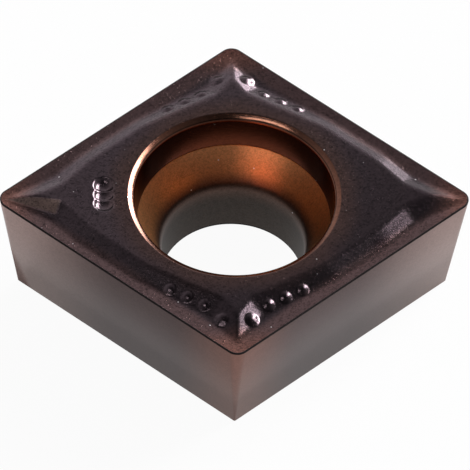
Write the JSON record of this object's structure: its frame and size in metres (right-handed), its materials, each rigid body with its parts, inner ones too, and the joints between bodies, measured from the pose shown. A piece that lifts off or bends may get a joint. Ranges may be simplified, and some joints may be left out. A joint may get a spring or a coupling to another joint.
{
  "type": "carbide turning insert",
  "caption": "Rhombic turning insert with relieved flanks, rounded noses, a raised chip-breaking plateau with knobs near its blunt corners, and a countersunk screw hole.",
  "frame": {"origin": "centre of the screw hole on the seating face", "axes": "+X towards one acute nose, +Y towards one obtuse corner, +Z along the screw hole, out of the rake side"},
  "size_m": [0.0144, 0.0122, 0.0042],
  "materials": {
    "coated_carbide": "dark violet-brown wear-resistant coating, satin, on sintered carbide"
  },
  "bodies": {
    "root": {"insert_body": "coated_carbide"}
  },
  "joints": []
}
